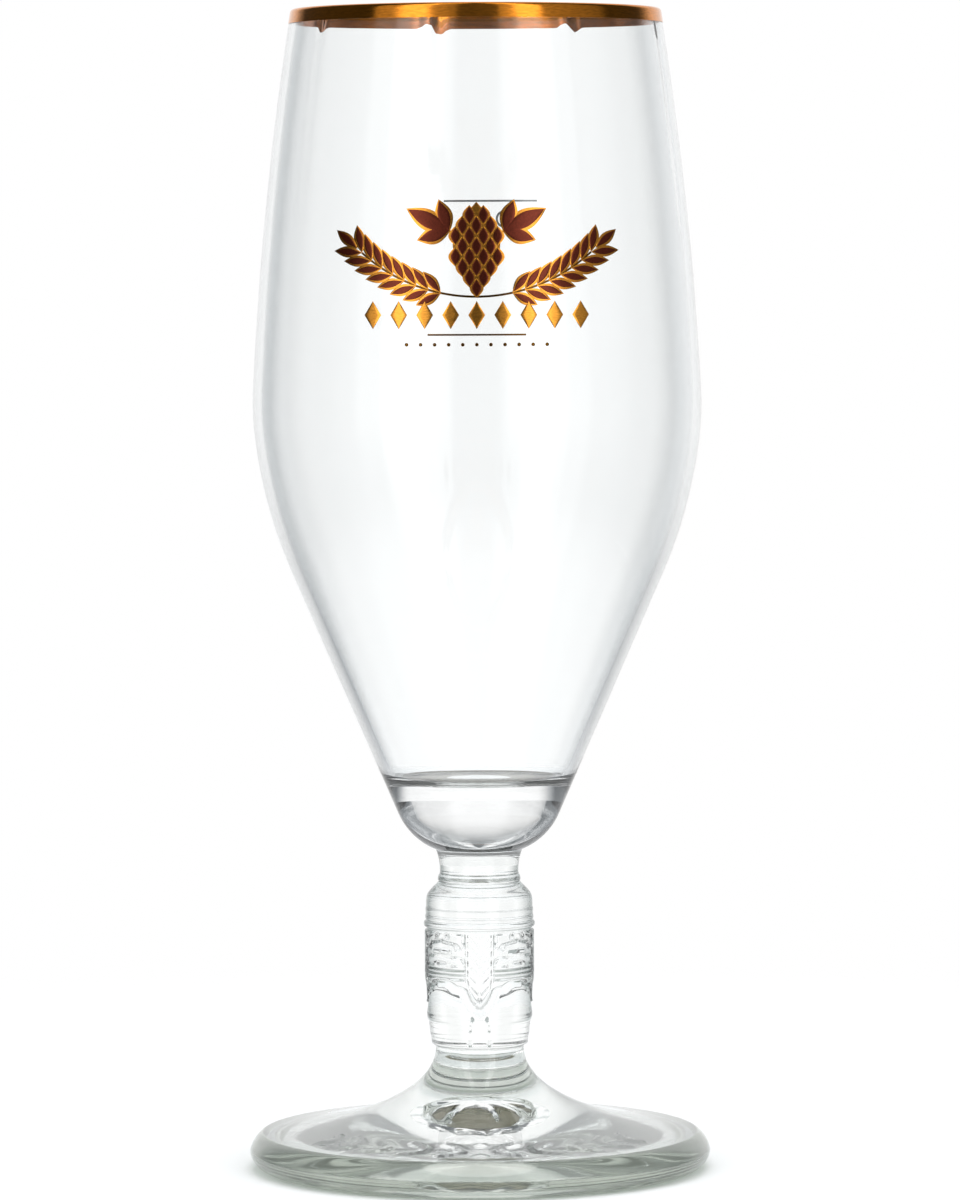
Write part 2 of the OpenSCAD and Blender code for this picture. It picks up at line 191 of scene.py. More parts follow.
def linear(text):
    """Linear RGBA from an sRGB hex value."""
    parts = [int(text[i : i + 2], 16) / 255 for i in (1, 3, 5)]
    return tuple(c / 12.92 if c <= 0.04045 else ((c + 0.055) / 1.055) ** 2.4 for c in parts) + (1,)


def scaled(colour, factor):
    """The colour made paler or deeper."""
    return tuple(min(1, c * factor) for c in colour[:3]) + (1,)


def add(tree, kind, inputs=None, stops=(), **settings):
    """Adds a node, sets its properties and a ramp's (position, RGBA) stops, and sets or links its
    inputs by name or number. A node as an input stands for its first output."""
    made = tree.nodes.new("ShaderNode" + kind)
    for name, value in settings.items():
        setattr(made, name, value)
    for name, value in (inputs or {}).items():
        value = value.outputs[0] if isinstance(value, bpy.types.Node) else value
        if isinstance(value, bpy.types.NodeSocket):
            tree.links.new(value, made.inputs[name])
        else:
            made.inputs[name].default_value = value
    points = made.color_ramp.elements if stops else ()
    while len(points) < len(stops):
        points.new(0.5)
    for point, (position, colour) in zip(points, stops):
        point.position, point.color = position, colour
    return made


def material(name):
    """A material and its empty node tree."""
    made = bpy.data.materials.new(name)
    made.use_nodes = True
    made.node_tree.nodes.clear()
    return made, made.node_tree


def pattern(tree, size_mm, detail, depth_mm, stretch=1):
    """A random pattern over the object and the bump that it gives."""
    place = add(tree, "TexCoord").outputs["Object"]
    if stretch != 1:
        place = add(tree, "Mapping", {"Vector": place, "Scale": (1, 1, stretch)})
    noise = add(tree, "TexNoise", {"Vector": place, "Scale": 1 / (size_mm * MM), "Detail": detail})
    value = noise.outputs["Fac"]
    bump = add(tree, "Bump", {"Height": value, "Distance": depth_mm * MM, "Strength": 1.0})
    return value, bump


GLASS_IOR = 1.52
# Clear soda-lime glasses: tint square on and painted shade edge on, where the one ends and the
# other is full, length and depth of the surface's waves in millimetres, and clearness
GLASSES = {
    # Blown wall: almost no colour, but a faint painted shade edge on. The solid bulb is thick,
    # and its outline is painted slate grey as shade
    "blown_soda_lime_glass": ("blown_face", "blown_edge", (0.45, 0.95), 22, 0.02, 1.0),
    "solid_soda_lime_bulb": ("blown_face", "bulb_edge", (0.45, 0.85), 22, 0.02, 0.95),
    # Inside floor round its middle: painted shade, an olive grey that stands in for the bulb's
    # thick sides seen down through it
    "inside_floor_glass_painted_shade": ("floor_face", "floor_edge", (0.1, 0.7), 5, 0.1, 0.9),
    # Pressed barrel: painted shade darkens each steep side into a dark line, and the small mould
    # marks are painted dark from every side as shade
    "pressed_soda_lime_glass": ("pressed_face", "pressed_edge", (0.3, 0.7), 5, 0.02, 1.0),
    "mould_mark_glass_painted_shade": ("mark_face", "pressed_edge", (0.1, 0.6), 5, 0.02, 1.0),
    # Ends of the stem: they met the foot and the bulb while hot, so they are smooth, and they are
    # paler because their painted edge shade starts only nearer edge on
    "fire_polished_skirt_glass": ("pressed_face", "pressed_edge", (0.6, 0.95), 5, 0.02, 1.0),
    "hot_drawn_neck_glass": ("pressed_face", "pressed_edge", (0.6, 0.95), 5, 0.02, 0.75),
    # Foot: wide waves and a faint painted edge shade above, and below them the mould's fine grain
    # makes it a little milky
    "pressed_foot_glass": ("pressed_face", "pressed_edge", (0.6, 0.95), 14, 0.03, 1.0),
    "moulded_underside_glass": ("pressed_face", "pressed_face", (0.6, 0.95), 14, 0.03, 0.82),
    # Punt: painted shade, olive grey and dark edge on, for the shaded floor seen down through it.
    # The plunger's short deep marks break the light into streaks
    "plunger_marked_punt_glass_painted_shade": ("punt_face", "punt_edge", (0.1, 0.7), 3, 0.3, 1.0),
}


def clear_glass(looks, name):
    """One of the clear glasses. The edge-on tint is painted shade: the glass is painted darker
    where it is seen edge on, which gives thick glass its grey-blue outline. The waves give the
    soft streaks of fire-polished glass."""
    face, edge, reach, wave_mm, wave_depth, clear = GLASSES[name]
    face, edge = linear(getattr(looks, face)), linear(getattr(looks, edge))
    made, tree = material(name)
    facing = add(tree, "LayerWeight", {"Blend": 0.5}).outputs["Facing"]
    # Painted shade: from the face tint square on to the darker edge tint edge on
    colour = add(tree, "ValToRGB", {"Fac": facing}, list(zip(reach, (face, edge))))
    _, waves = pattern(tree, wave_mm, 1.0, wave_depth)
    body = add(tree, "BsdfPrincipled", {
        "Base Color": colour, "Roughness": 0.0, "IOR": GLASS_IOR, "Transmission Weight": clear,
        "Normal": waves,
    })
    pass_lamp_light(tree, body, face)
    return made


def thick_glass(name, colour):
    """Thick pressed glass looked at through its length. Iron in the glass shows there as a milky
    grey-green, and cords of uneven glass as paler streaks."""
    made, tree = material(name)
    base = linear(colour)
    pale = scaled(base, 1.25)
    cords, waves = pattern(tree, 9, 2.0, 0.05)
    tone = add(tree, "ValToRGB", {"Fac": cords}, [(0.35, base), (0.65, pale)])
    body = add(tree, "BsdfPrincipled", {
        "Base Color": tone, "Roughness": 0.07, "IOR": GLASS_IOR, "Transmission Weight": 0.85,
        "Normal": waves,
    })
    pass_lamp_light(tree, body, pale)
    return made


def pass_lamp_light(tree, body, colour):
    """Lets lamp light through to the floor in this colour. All other light meets the body."""
    shadow = add(tree, "LightPath").outputs["Is Shadow Ray"]
    through = add(tree, "BsdfTransparent", {"Color": colour})
    both = add(tree, "MixShader", {0: shadow, 1: body, 2: through})
    add(tree, "OutputMaterial", {"Surface": both})


def fused_joint():
    """The seam of two pieces of hot glass: they are one body there, so nothing shows."""
    made, tree = material("hot_fused_glass_seam")
    add(tree, "OutputMaterial", {"Surface": add(tree, "BsdfTransparent")})
    return made


def glasses(looks, first, *others):
    """The glass of a piece, the seam where it is fused to its neighbour, and its other glasses."""
    return [clear_glass(looks, first), fused_joint()] + [clear_glass(looks, g) for g in others]


def fired_film(tree, colour, metallic, roughness, normal):
    """A film with this surface. The side that is fused to the glass is painted down to a fifth as
    shade, so that it doesn't glow in the glass's inner reflections.
    """
    back = add(tree, "NewGeometry").outputs["Backfacing"]
    # Painted shade on the back side
    fade = add(tree, "MapRange", {"Value": back, "To Min": 1.0, "To Max": 0.2})
    colour_with_shaded_back = add(tree, "VectorMath", {0: colour, "Scale": fade}, operation="SCALE")
    film = add(tree, "BsdfPrincipled", {
        "Base Color": colour_with_shaded_back, "Metallic": metallic, "Roughness": roughness, "Normal": normal,
    })
    add(tree, "OutputMaterial", {"Surface": film})


def fired_gold(name, colour, roughness, streak_mm):
    """Liquid bright gold, brushed or printed on and fired: a mirror-like film with streaks."""
    made, tree = material(name)
    base = linear(colour)
    streaks, normal = pattern(tree, streak_mm, 3.0, 0.01, stretch=6)
    tone = add(tree, "ValToRGB", {"Fac": streaks}, [(0.3, scaled(base, 0.72)), (0.62, base)])
    rough = add(tree, "MapRange", {
        "Value": streaks, "To Min": roughness * 0.7, "To Max": roughness * 1.5,
    })
    fired_film(tree, tone, 1.0, rough, normal)
    return made


def fired_enamel(name, colour, metallic, roughness):
    """Screen-printed vitreous enamel, fired on: a thin glossy paint with a fine grain of frit."""
    made, tree = material(name)
    base = linear(colour)
    # Frit grains are about 0.02 mm and would not show, so they are drawn at 0.3 mm
    frit, normal = pattern(tree, 0.3, 2.0, 0.006)
    tone = add(tree, "ValToRGB", {"Fac": frit}, [(0.35, base), (0.7, scaled(base, 1.35))])
    fired_film(tree, tone, metallic, roughness, normal)
    return made


# Outlines, in millimetres. A point is (radius, height, bearing of its outward normal in degrees).

# Points of the joint's disc from the axis out, and steps of the lip's half circle
SEAM_POINTS, LIP_STEPS = 3, 20
# Points round each turned piece
BOWL_TURNS, STEM_TURNS, FOOT_TURNS = 240, 360, 480


def shifted(point, distance, a):
    """The place at this distance from a point, at bearing a."""
    turn = math.radians(a)
    return point[0] + distance * math.cos(turn), point[1] + distance * math.sin(turn)


def arc(centre, radius, a0, a1, steps):
    """Points of an arc with their normals."""
    return [(*shifted(centre, radius, a), a) for a in np.linspace(a0, a1, steps + 1)]


def centre_of(point, radius, a):
    """Centre of an arc that has this point on it at bearing a."""
    return shifted(point, -radius, a)


def ellipse(centre, across, up, turns):
    """Points of an ellipse at these turns in radians."""
    return [(centre[0] + across * math.cos(a), centre[1] + up * math.sin(a)) for a in turns]


def cubic(a, b, c, d, steps):
    """Cubic curve through four guide points."""
    t = np.linspace(0, 1, steps + 1)[:, None]
    a, b, c, d = (np.array(p, float) for p in (a, b, c, d))
    run = a * (1 - t) ** 3 + 3 * b * (1 - t) ** 2 * t + 3 * c * (1 - t) * t ** 2 + d * t ** 3
    return [tuple(p) for p in run]


class BowlOutline:
    """The bowl's outer and inner curves, tangent arcs from the joint to the lip."""

    upper_lean, lower_lean, cone_lean, bulb_lean = 3, 7.4, 23.5, 68

    def __init__(self, s):
        self.joint_z, self.rim_z = mm(s.joint_z), mm(s.rim_z)
        belly_r, belly_z = mm(s.belly_r), mm(s.joint_z) + mm(s.belly_up)
        self.wall_r, self.wall_rim, self.wall_base = mm(s.wall_r), mm(s.wall_rim), mm(s.wall_base)
        self.floor_z, self.floor_round = self.joint_z + mm(s.bulb_h), mm(s.floor_round)
        bulb_r, hip_r = mm(s.bulb_r), mm(s.hip_r)
        lower_r, upper_r = mm(s.belly_lower_r), mm(s.belly_upper_r)

        bulb_c = centre_of((mm(s.joint_r), self.joint_z), bulb_r, -self.bulb_lean)
        self.bulb = arc(bulb_c, bulb_r, -self.bulb_lean, -self.cone_lean, 24)
        low = arc((belly_r - lower_r, belly_z), lower_r, -self.lower_lean, 0, 8)
        hip_c = centre_of(low[0], hip_r, -self.lower_lean)
        hip = arc(hip_c, hip_r, -self.cone_lean, -self.lower_lean, 24)
        high = arc((belly_r - upper_r, belly_z), upper_r, 0, self.upper_lean, 6)
        self.wall_c = centre_of(high[-1], self.wall_r, self.upper_lean)
        self.lip_r = self.wall_rim / 2
        self.rim_lean = self.lean_at(self.rim_z - self.lip_r)
        slant = 1 - math.sin(math.radians(self.rim_lean))
        self.rim_lean = self.lean_at(self.rim_z - self.lip_r * slant)
        wall = arc(self.wall_c, self.wall_r, self.upper_lean, self.rim_lean, 60)
        a, b = self.bulb[-1], hip[0]
        cone = [
            (a[0] + (b[0] - a[0]) * t, a[1] + (b[1] - a[1]) * t, -self.cone_lean)
            for t in np.linspace(0, 1, 22)[1:-1]
        ]
        self.upper = cone + hip + low[1:] + high[1:] + wall[1:]
        self.outer = self.bulb + self.upper

    def lean_at(self, z):
        """Lean of the long wall curve at height z, in degrees."""
        return math.degrees(math.asin((z - self.wall_c[1]) / self.wall_r))

    def radius(self, z):
        """Outer radius on the long wall curve at height z."""
        return self.wall_c[0] + math.sqrt(self.wall_r ** 2 - (z - self.wall_c[1]) ** 2)

    def thickness(self, z):
        """Wall thickness at height z."""
        foot, top = self.bulb[-1][1], self.outer[-1][1]
        return self.wall_base + (self.wall_rim - self.wall_base) * (z - foot) / (top - foot)

    def inner(self, path):
        """The inside of the wall for an outside path."""
        return [(*shifted(p, -self.thickness(p[1]), p[2]), p[2] + 180) for p in path]

    def lip(self, steps):
        """Half circle over the lip, from the outside in."""
        end = self.outer[-1]
        return arc(centre_of(end, self.lip_r, end[2]), self.lip_r, end[2], end[2] + 180, steps)

    def profile(self):
        """The whole closed outline from the axis under the bulb to the axis on the inside floor."""
        corner_in = self.wall_base + self.floor_round
        foot, lean = self.bulb[-1], math.radians(self.cone_lean)
        round_z = self.floor_z + self.floor_round
        along = (round_z - foot[1] - corner_in * math.sin(lean)) / math.cos(lean)
        centre = (foot[0] - corner_in * math.cos(lean) + along * math.sin(lean), round_z)
        corner = arc(centre, self.floor_round, -90, -self.cone_lean, 20)
        # The wall starts a little over the corner's end, so that no two points meet there
        start = corner[-1][1] + 0.3
        inside = [p for p in self.inner(self.upper) if p[1] > start]
        under = np.linspace(0, self.bulb[0][0], SEAM_POINTS + 1)[:-1]
        floor = np.linspace(corner[0][0], 0, 10)[1:]
        run = [(r, self.joint_z) for r in under] + self.outer + self.lip(LIP_STEPS)[1:]
        run += inside[::-1] + corner[::-1] + [(r, self.floor_z) for r in floor]
        return [(p[0], p[1]) for p in run]


# Meshes


def link(name, points_mm, faces, materials, pick=None, sharp=50):
    """A mesh object from points in millimetres, smooth but for edges sharper than the angle."""
    mesh = bpy.data.meshes.new(name)
    mesh.from_pydata([tuple(c * MM for c in p) for p in points_mm], [], faces)
    for m in materials:
        mesh.materials.append(m)
    if pick is not None:
        mesh.polygons.foreach_set("material_index", [int(k) for k in pick])
    mesh.polygons.foreach_set("use_smooth", [True] * len(faces))
    mesh.set_sharp_from_angle(angle=math.radians(sharp))
    mesh.validate()
    made = bpy.data.objects.new(name, mesh)
    bpy.context.scene.collection.objects.link(made)
    return made


def revolve(profile, turns, shape=None):
    """Points and faces of an outline turned about the axis, and each face's row. The body lies on
    the outline's left looking up. Shape gives new radii and heights for those of every point."""
    profile = np.array(profile, float)
    count = len(profile)
    angles = np.linspace(0, 2 * math.pi, turns, endpoint=False)
    radius = np.repeat(profile[:, :1], turns, axis=1)
    height = np.repeat(profile[:, 1:2], turns, axis=1)
    if shape is not None:
        radius, height = shape(radius, height, np.repeat(angles[None, :], count, axis=0))
    points, index = [], np.zeros((count, turns), int)
    for i in range(count):
        if i in (0, count - 1) and profile[i, 0] < 1e-9:
            index[i] = len(points)
            points.append((0.0, 0.0, profile[i, 1]))
            continue
        for j, a in enumerate(angles):
            index[i, j] = len(points)
            points.append((radius[i, j] * math.sin(a), -radius[i, j] * math.cos(a), height[i, j]))
    faces, rows = [], []
    for i in range(count - 1):
        for j in range(turns):
            k = (j + 1) % turns
            corners = [index[i, j], index[i, k], index[i + 1, k], index[i + 1, j]]
            faces.append([int(c) for n, c in enumerate(corners) if c != corners[n - 1]])
            rows.append(i)
    return points, faces, np.array(rows)


def smooth_step(low, high, value):
    """0 at low, 1 at high, and an even rise between."""
    t = np.clip((value - low) / (high - low), 0, 1)
    return t * t * (3 - 2 * t)


def ridge(distance, width):
    """A soft ridge of height 1 and about this width."""
    return np.exp(-((distance / (width / 2)) ** 2))


def half_turn(turn, full):
    """The turn taken from the front, from minus to plus half the full turn."""
    return (turn + full / 2) % full - full / 2


def dress(piece, node):
    """Rides on the body and stands for its CAD node, which it hides."""
    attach(piece, "root")
    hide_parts(node)


# Upright ripples inside the wall: bearing in degrees, and height as a share of the ripple's size
RIPPLES = [
    (-55.3, 1.0), (-14.3, -1.2), (-11.6, 1.2), (29.0, -1.0), (31.5, 0.8), (74.0, 1.0), (172.0, 0.7),
]
RIPPLE_WIDTH = 2.4
# Height over the joint where they start, and how far under the lip they are full, thicken and end
RIPPLE_START, RIPPLE_FULL, RIPPLE_THICK, RIPPLE_END = 90, 6, 3, 1.5
# Radii and height of the part of the inside floor that looks into the bulb's sides, and is
# painted olive grey as shade there
FLOOR_IN, FLOOR_OUT, FLOOR_UP = 5.8, 13.5, 1.2


class MakeBowl(bpy.types.Operator):
    """Blown bowl with its solid bulb"""

    bl_idname = "chalice.make_bowl"
    bl_label = "Blown Bowl"

    def execute(self, context):
        scene = context.scene
        outline = BowlOutline(scene.bowl_sizes)
        depth, top = mm(scene.bowl_sizes.ripple), outline.rim_z
        # A line inside the glass of the wall parts its two sides
        core = [(p[1], p[0] - 0.6) for p in outline.outer]

        def ripples(radius, height, turn):
            inside = radius < np.interp(height, *zip(*core))
            lift = np.zeros_like(radius)
            for place, size in RIPPLES:
                lift += size * ridge(half_turn(np.degrees(turn) - place, 360), RIPPLE_WIDTH)
            fade = smooth_step(outline.joint_z + RIPPLE_START, top - RIPPLE_FULL, height)
            fade = fade * smooth_step(top + 0.1, top - RIPPLE_END, height)
            thick = 1 + 3 * smooth_step(top - RIPPLE_FULL, top - RIPPLE_THICK, height)
            return radius - inside * fade * lift * depth * thick, height

        run = outline.profile()
        points, faces, rows = revolve(run, BOWL_TURNS, ripples)
        radius, height = np.array(run)[rows].T
        on_floor = (rows > len(outline.outer) + LIP_STEPS) & (height < outline.floor_z + FLOOR_UP)
        kinds = np.where(rows < SEAM_POINTS + len(outline.bulb), 2, 0)
        kinds[rows < SEAM_POINTS] = 1
        # That part of the inside floor takes the glass with the painted olive shade
        kinds[on_floor & (radius > FLOOR_IN) & (radius < FLOOR_OUT)] = 3
        made = glasses(
            scene.finishes, "blown_soda_lime_glass", "solid_soda_lime_bulb",
            "inside_floor_glass_painted_shade",
        )
        dress(link("blown_bowl", points, faces, made, kinds), "bowl")
        return {"FINISHED"}


# Outline of the stem as (radius, height over the foot). The barrel's radii are taken from its own.
SKIRT = [
    (FOOT_JOINT_R, 0), (FOOT_JOINT_R, 0.55), (7.65, 0.75), (8.05, 0.95), (8.2, 1.2), (8.25, 2.0),
    (8.28, 2.3), (8.42, 2.5), (8.5, 3.5), (8.52, 3.9), (8.6, 4.15), (8.62, 4.9),
]
BARREL = [
    (-0.45, 5.25), (-0.43, 6.5), (-0.38, 8.5), (-0.25, 10.8), (-0.05, 12.2), (0, 13.2), (0, 20.5),
    (-0.15, 20.75), (-0.05, 20.95),
]
COLLARS = [
    (9.36, 21.1), (9.46, 21.35), (9.46, 21.65), (9.36, 21.9), (9.16, 22.05), (9.14, 22.3),
    (9.22, 22.5), (9.22, 22.9), (9.12, 23.15), (9.16, 23.4), (9.16, 24.2), (9.04, 24.45),
    (9.08, 24.7), (9.06, 25.4),
]
SHOULDER = [(9.0, 25.9), (8.95, 26.9), (7.75, 27.7), (7.0, 28.6)]
RING = [(6.86, 28.7), (7.02, 28.9), (7.04, 29.3), (6.94, 29.7), (6.74, 30.0)]
WAIST = [(6.7, 30.1), (6.62, 31.0), (6.8, 32.9)]
# Heights over the foot: the smooth skirt ends, the relief starts and ends, the neck starts
SKIRT_TOP, RELIEF_LOW, RELIEF_HIGH, NECK_LOW = 5.0, 0.6, 20.75, 31.5

# Drawing of a quarter of the barrel: across from the strap's middle, and up from the stem's foot.
# The reach is the distance round the barrel for each radian.
STRAP_REACH = 9.35
STRAP_SIDE = [
    (0.0, 7.9), (0.7, 8.2), (1.5, 9.2), (2.1, 10.4), (2.4, 11.6), (2.5, 12.8), (2.5, 30.0),
]
LOBE_TOP = [
    (0.0, 7.4), (0.9, 7.7), (1.9, 9.0), (2.6, 10.6), (3.2, 11.1), (4.4, 11.3), (5.4, 11.9),
    (6.3, 12.2), (9.0, 12.2),
]
# Grooves as path, width and share of the full depth: course lines, the slanted line over them,
# hooks and uprights
STEM_LINES = [
    ([(2.7, 12.75), (7.4, 12.75)], 0.34, 0.6),
    ([(2.7, 13.5), (7.4, 13.5)], 0.3, 0.7),
    ([(2.7, 14.25), (7.4, 14.25)], 0.34, 0.8),
    ([(2.9, 14.9), (4.9, 14.95)], 0.3, 0.7),
    ([(2.7, 15.6), (2.9, 16.1), (3.4, 16.4), (4.9, 16.45)], 0.32, 0.8),
    ([(3.5, 17.9), (4.2, 18.6), (7.4, 19.2)], 0.36, 1.0),
    ([(4.2, 18.6), (4.1, 17.8)], 0.4, 0.9),
    ([(2.75, 18.3), (2.8, 20.4)], 0.36, 1.0),
    ([(2.8, 20.3), (7.4, 20.95)], 0.4, 1.0),
    ([(6.0, 19.7), (6.05, 20.3)], 0.6, 0.8),
    ([(6.6, 15.4), (7.4, 15.4)], 0.5, 0.6),
]
PILL = [(5.6, 17.25), (7.1, 17.3)]
PITS = [(1.35, 5.9), (1.8, 4.35), (1.9, 1.7)]


def stem_profile(s):
    """The stem's outline without its relief."""
    z0, r = mm(s.foot_z), mm(s.barrel_r)

    def over_foot(points):
        return [(across, z0 + up) for across, up in points]

    barrel = [(r + across, up) for across, up in BARREL]
    shoulder = cubic(*over_foot(SHOULDER), 16)
    waist = cubic(*over_foot(WAIST), (BULB_JOINT_R, mm(s.joint_z)), 20)
    return over_foot(SKIRT + barrel + COLLARS) + shoulder + over_foot(RING) + waist[1:]


def resample(points, step):
    """The same line with a point about every step."""
    made = [points[0]]
    for a, b in zip(points, points[1:]):
        count = max(1, round(math.dist(a, b) / step))
        made += [
            (a[0] + (b[0] - a[0]) * k / count, a[1] + (b[1] - a[1]) * k / count)
            for k in range(1, count + 1)
        ]
    return made


def distance_to(x, y, path):
    """Distance of each place from a line through points."""
    best = np.full(np.shape(x), 1e9)
    for (ax, ay), (bx, by) in zip(path, path[1:]):
        dx, dy = bx - ax, by - ay
        t = np.clip(((x - ax) * dx + (y - ay) * dy) / (dx * dx + dy * dy), 0, 1)
        best = np.minimum(best, np.hypot(x - ax - t * dx, y - ay - t * dy))
    return best


def signed(x, y, path):
    """Distance from a line that runs across, positive below it."""
    level = np.interp(x, [p[0] for p in path], [p[1] for p in path])
    return distance_to(x, y, path) * np.where(y < level, 1.0, -1.0)


def mould_marks(turn, z):
    """Small steep marks on the front: six pits under the strap, and a flat pill at its right."""
    across = half_turn(turn, 2 * math.pi)
    side = np.abs(across) * STRAP_REACH
    pits = sum(smooth_step(0.5, 0.2, np.hypot(side - x, (z - up) * 0.75)) for x, up in PITS)
    pill = smooth_step(0.42, 0.2, distance_to(side, z, PILL)) * (across > 0)
    return (pits + pill) * (side < 8)


def stem_relief(s, turn, z):
    """How far the pressed barrel stands out from its outline, by turn and height over the foot."""
    lobe, strap, groove = mm(s.lobe_h), mm(s.strap_h), mm(s.groove_h)
    # Distance along the barrel from the middle of the nearest of four straps
    side = np.abs(np.radians(half_turn(np.degrees(turn), 90))) * STRAP_REACH
    top = smooth_step(20.6, 20.3, z)
    # Strap: upright sides that run into a V below, a raised rim, a mid rib and carved grains
    strap_edge = signed(side, z, STRAP_SIDE)
    in_strap = smooth_step(0.2, -0.2, strap_edge) * top
    off = 1 - in_strap
    grains = np.maximum(0, np.cos((z - side * 1.1) * math.pi / 0.8)) * smooth_step(0.15, 0.5, side)
    grains = 0.5 * grains * smooth_step(-0.5, -0.8, strap_edge)
    carved = in_strap * (0.35 + grains + 0.4 * ridge(side, 0.5))
    carved += 0.6 * ridge(strap_edge + 0.3, 0.4) * top
    # Lobe: a smooth pad with a rounded top, which merges with its neighbours under the strap
    lobe_edge = signed(side, z, LOBE_TOP)
    pad = smooth_step(-0.1, 1.1, lobe_edge) * smooth_step(4.7, 5.7, z) * off
    # Courses of blocks between the straps: their grooves, and a raised pill
    wall = smooth_step(11.4, 11.7, z) * top * off * (lobe_edge < 0)
    cut = np.zeros_like(z)
    for path, width, depth in STEM_LINES:
        cut = np.maximum(cut, depth * ridge(distance_to(side, z, path), width))
    raised = smooth_step(0.25, -0.25, distance_to(side, z, PILL) - 0.28)
    # The lobe's outline is a groove that is deeper towards the lobe's shoulder
    outline = ridge(lobe_edge + 0.15, 0.55) * off * smooth_step(5.0, 8.5, z) * (z < 12.6)
    out = carved * strap + pad * lobe - wall * cut * groove + wall * raised * groove * 0.7
    out -= outline * groove * 0.8 + mould_marks(turn, z) * groove
    return out * ((z > RELIEF_LOW) & (z < RELIEF_HIGH))


# Radii of a joint's disc from the axis out
DISC = [0, 2.5, 5]


class MakeStem(bpy.types.Operator):
    """Pressed stem with courses, lobes, straps and collars"""

    bl_idname = "chalice.make_stem"
    bl_label = "Pressed Stem"

    def execute(self, context):
        s = context.scene.stem_sizes
        z0 = mm(s.foot_z)

        def relief(radius, height, turn):
            return radius + stem_relief(s, turn, height - z0), height

        under = [(r, z0) for r in DISC]
        body = resample(stem_profile(s), 0.15)
        run = under + body + [(r, mm(s.joint_z)) for r in DISC[::-1]]
        points, faces, rows = revolve(run, STEM_TURNS, relief)
        place = (np.arange(len(faces)) % STEM_TURNS + 0.5) * 2 * math.pi / STEM_TURNS
        up = np.array(run)[rows, 1] - z0
        # The mould marks' faces take a glass painted dark as shade
        kinds = np.where(mould_marks(place, up) > 0.5, 2, 0)
        kinds[up < SKIRT_TOP] = 3
        kinds[up > NECK_LOW] = 4
        kinds[(rows < len(under)) | (rows >= len(under) + len(body) - 1)] = 1
        made = glasses(
            context.scene.finishes, "pressed_soda_lime_glass", "mould_mark_glass_painted_shade",
            "fire_polished_skirt_glass", "hot_drawn_neck_glass",
        )
        stem = link("pressed_stem", points, faces, made, kinds, sharp=80)
        dress(stem, "stem")
        return {"FINISHED"}


# Embossed sprigs on the foot: radius and half length of the stalk, pitch of the leaves and where
# the first starts, half a leaf's length and width, its distance from the stalk and its slope
STALK_R, STALK_HALF, LEAF_PITCH, LEAF_START = 30.5, 30, 6.4, 1.5
LEAF_L, LEAF_W, LEAF_OUT, LEAF_SLOPE = 3.0, 1.25, 1.9, 0.45
SPRIG_IN, SPRIG_OUT = 24, 36.2
# Flutes up the punt: count and depth
FLUTES, FLUTE_H = 9, 0.45


def foot_profile(s):
    """The foot's outline in parts, from the axis at the joint to the axis in the punt."""
    r, top = mm(s.radius), mm(s.top_z)
    edge_z, edge_h, edge_w = mm(s.edge_z), mm(s.edge_h), mm(s.edge_w)
    sole_w, rest_w, under_h = mm(s.sole_w), mm(s.rest_w), mm(s.under_h)
    punt_r, punt_rim, punt_h = mm(s.punt_r), mm(s.punt_rim), mm(s.punt_h)
    flare_r, rest_r = r - edge_w, r - sole_w
    hollow_r = rest_r - rest_w
    cap = [(r, top) for r in DISC]
    flare = cubic(
        (FOOT_JOINT_R, top), (FOOT_JOINT_R + edge_w / 8, top - edge_h),
        (flare_r / 2, edge_h + edge_w * 0.75), (flare_r, edge_h), 90,
    )
    # The edge is a little squarer than a quarter of an ellipse
    edge = [
        (flare_r + edge_w * math.sin(a) ** 1.4, edge_z + (edge_h - edge_z) * math.cos(a) ** 1.4)
        for a in np.linspace(0, math.pi / 2, 21)[1:-1]
    ] + [(r, edge_z)]
    sole = [
        (rest_r + sole_w * math.cos(a), edge_z * (1 - math.sin(a)))
        for a in np.linspace(0, math.pi / 2, 17)[1:]
    ]
    under = cubic(
        (hollow_r, 0), (hollow_r - rest_w, under_h),
        (punt_r + (hollow_r - punt_r) / 2, under_h), (punt_r, punt_rim), 26,
    )
    punt = cubic(
        (punt_r, punt_rim), (punt_r * 0.9, under_h + punt_h * 0.7),
        (punt_r * 0.55, under_h + punt_h), (0, under_h + punt_h), 30,
    )
    return cap, flare, edge, sole, under, punt[1:]


def sprigs(radius, turn):
    """Height, as a share, of two sprigs that run round the foot from its front."""
    arc_x = np.abs(np.radians(half_turn(np.degrees(turn), 360)) * STALK_R)
    on_stalk = arc_x < STALK_HALF
    along = (arc_x - LEAF_START) % LEAF_PITCH - LEAF_PITCH / 2
    across = radius - STALK_R
    off = np.abs(across) - LEAF_OUT - along * LEAF_SLOPE
    leaf = 1 - (along / LEAF_L) ** 2 - (off / LEAF_W) ** 2
    leaves = smooth_step(0, 0.5, leaf) * on_stalk
    vein = ridge(off, 0.5) * (leaf > 0.2)
    stalk = ridge(across, 0.8) * on_stalk
    made = np.maximum(leaves * (1 - 0.45 * vein), stalk * 0.7)
    return made * (radius > SPRIG_IN) * (radius < SPRIG_OUT)


